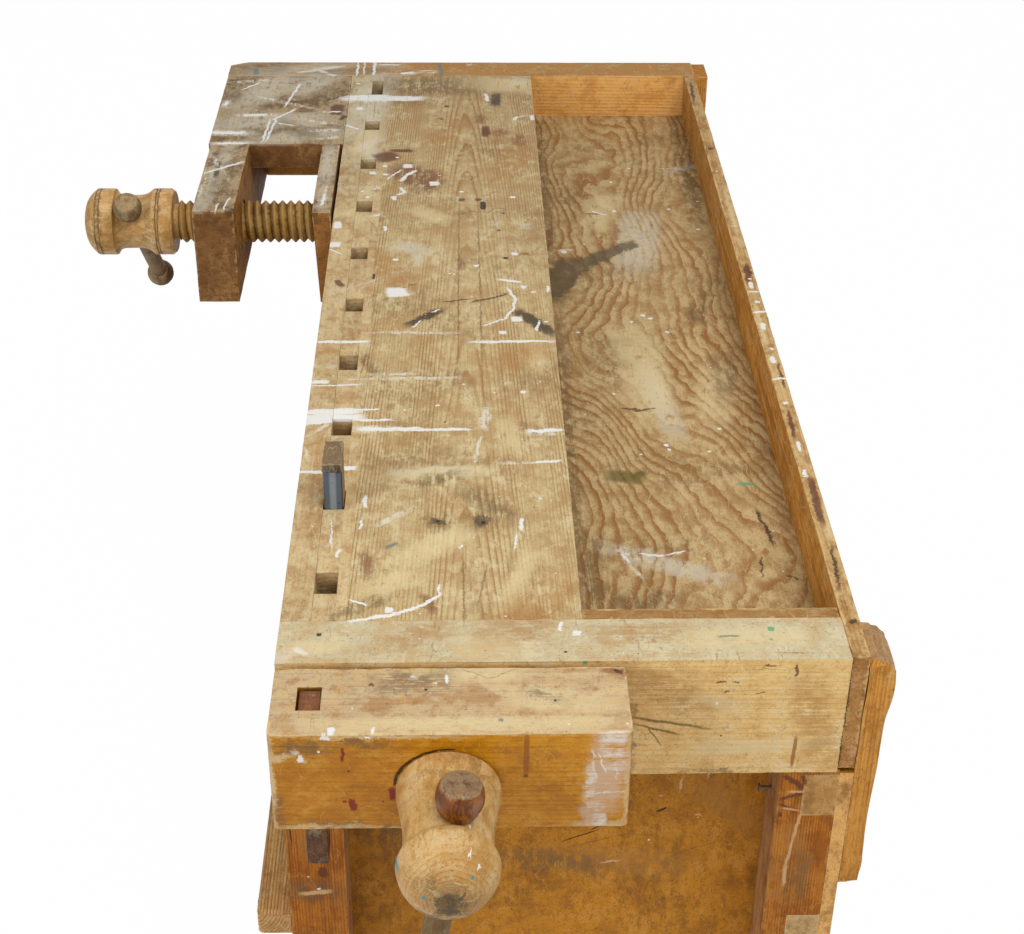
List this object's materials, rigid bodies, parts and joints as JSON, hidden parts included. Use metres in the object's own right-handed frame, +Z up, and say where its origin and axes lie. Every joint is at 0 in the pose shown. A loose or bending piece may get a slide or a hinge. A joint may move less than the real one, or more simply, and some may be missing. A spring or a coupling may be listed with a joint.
{
  "type": "woodworking bench",
  "caption": "Worn wooden workbench with an end vise, a shoulder vise, square dog holes, a sunken tool tray and a panelled base.",
  "frame": {"origin": "middle of the overall box, on the floor", "axes": "+Y runs along the bench from the end vise to the shoulder vise end, +X from the front (dog hole) edge to the tray side, +Z up"},
  "size_m": [1.021, 1.942, 0.911],
  "materials": {
    "top_pine": "worn oiled pine, straight grain, paint strokes and stains",
    "rail_beech": "worn oiled beech strips, paint specks",
    "cap_beech": "pale worn beech",
    "far_cap_wood": "orange brown wood with a pale paint patch",
    "jaw_varnish": "amber varnished beech, pale worn top",
    "hub_beech": "turned beech, satin, worn",
    "handle_wood": "turned ash, dark with handling",
    "shoulder_wood": "dark brown worn wood with white paint",
    "leg_pine": "reddish brown stained pine",
    "rail_pine": "plain pine, end grain showing",
    "panel_ply": "brown orange plywood, satin",
    "tray_ply": "rotary cut plywood, bold reddish figure",
    "rear_pine": "orange brown pine, splintered top edge",
    "weathered_pine": "grey brown weathered pine",
    "dog_wood": "reddish brown hardwood",
    "hidden_beech": "plain beech",
    "spring_steel": "grey sheet steel",
    "black_iron": "dark oxidised iron",
    "screw_steel": "dull zinc"
  },
  "bodies": {
    "bench": {"front_strip": "rail_beech", "repair_block": "rail_beech", "dog_blocks": "rail_beech", "dog_back_strip": "rail_beech", "top_slab": "top_pine", "near_end_cap": "cap_beech", "far_end_cap": "far_cap_wood", "near_cap_screws": "black_iron", "far_cap_screws": "black_iron", "tray_inner_rail": "rail_pine", "rear_board": "rear_pine", "tray_ledgers": "rail_pine", "tray_floor": "tray_ply", "tray_floor_screws": "screw_steel", "tray_end_batten": "rear_pine", "end_guide_blocks": "hidden_beech", "shoulder_arm": "shoulder_wood", "shoulder_board": "shoulder_wood", "shoulder_rail": "far_cap_wood", "tie_rod": "black_iron", "tie_rod_nuts": "black_iron", "tie_rod_washers": "black_iron", "front_near_leg": "leg_pine", "rear_near_leg": "leg_pine", "front_far_leg": "leg_pine", "rear_far_leg": "leg_pine", "rear_top_rail": "rail_pine", "rear_mid_rail": "rail_pine", "rear_bottom_rail": "rail_pine", "front_top_rail": "rail_pine", "front_bottom_rail": "rail_pine", "front_ledge": "weathered_pine", "ledge_screws": "screw_steel", "near_end_panel": "panel_ply", "far_end_panel": "panel_ply", "near_bottom_rail": "leg_pine", "far_bottom_rail": "leg_pine", "back_panel": "panel_ply", "back_panel_screws": "screw_steel", "bottom_shelf": "panel_ply", "leg_dowels": "hidden_beech", "leg_nail": "screw_steel", "near_rear_cleat": "weathered_pine", "far_rear_cleat": "weathered_pine", "cleat_screws": "screw_steel"},
    "end_jaw": {"end_jaw": "jaw_varnish", "end_guide_bars": "hidden_beech", "end_garter_key": "hidden_beech"},
    "end_screw": {"end_screw": "hub_beech"},
    "end_handle": {"end_handle_bar": "handle_wood", "end_handle_knobs": "handle_wood"},
    "jaw_dog": {"jaw_dog": "dog_wood"},
    "shoulder_jaw": {"shoulder_jaw": "shoulder_wood", "shoulder_garter_key": "hidden_beech"},
    "shoulder_screw": {"shoulder_screw": "hub_beech"},
    "shoulder_handle": {"shoulder_handle_bar": "handle_wood", "shoulder_handle_knobs": "handle_wood"},
    "top_dog": {"top_dog": "dog_wood", "top_dog_spring": "spring_steel"}
  },
  "joints": [
    {"name": "end_jaw_slide", "type": "slide", "parent": "bench", "child": "end_jaw", "axis": [0, -1, 0], "range_m": [-0.0069, 0.1573]},
    {"name": "end_screw_turn", "type": "hinge", "parent": "end_jaw", "child": "end_screw", "pos_m": [0.0585, -0.828, 0.778], "axis": [0, -1, 0], "range_deg": [-180, 4320]},
    {"name": "end_handle_slide", "type": "slide", "parent": "end_screw", "child": "end_handle", "axis": [0.1392, 0, 0.9903], "range_m": [0, 0.1895]},
    {"name": "jaw_dog_slide", "type": "slide", "parent": "end_jaw", "child": "jaw_dog", "axis": [0, 0, 1], "range_m": [-0.03, 0.1]},
    {"name": "shoulder_jaw_slide", "type": "slide", "parent": "bench", "child": "shoulder_jaw", "axis": [-1, 0, 0], "range_m": [-0.0045, 0.0918]},
    {"name": "shoulder_screw_turn", "type": "hinge", "parent": "shoulder_jaw", "child": "shoulder_screw", "pos_m": [-0.1485, 0.473, 0.774], "axis": [-1, 0, 0], "range_deg": [-120, 2520]},
    {"name": "shoulder_handle_slide", "type": "slide", "parent": "shoulder_screw", "child": "shoulder_handle", "axis": [0, -0.7071, 0.7071], "range_m": [0, 0.1895]},
    {"name": "top_dog_slide", "type": "slide", "parent": "bench", "child": "top_dog", "axis": [0, 0, 1], "range_m": [-0.0497, 0.04]}
  ],
  "couplings": [
    {"joint": "end_jaw_slide", "follows": "end_screw_turn", "m_per_rad": 0.0020849},
    {"joint": "shoulder_jaw_slide", "follows": "shoulder_screw_turn", "m_per_rad": 0.0020849}
  ]
}
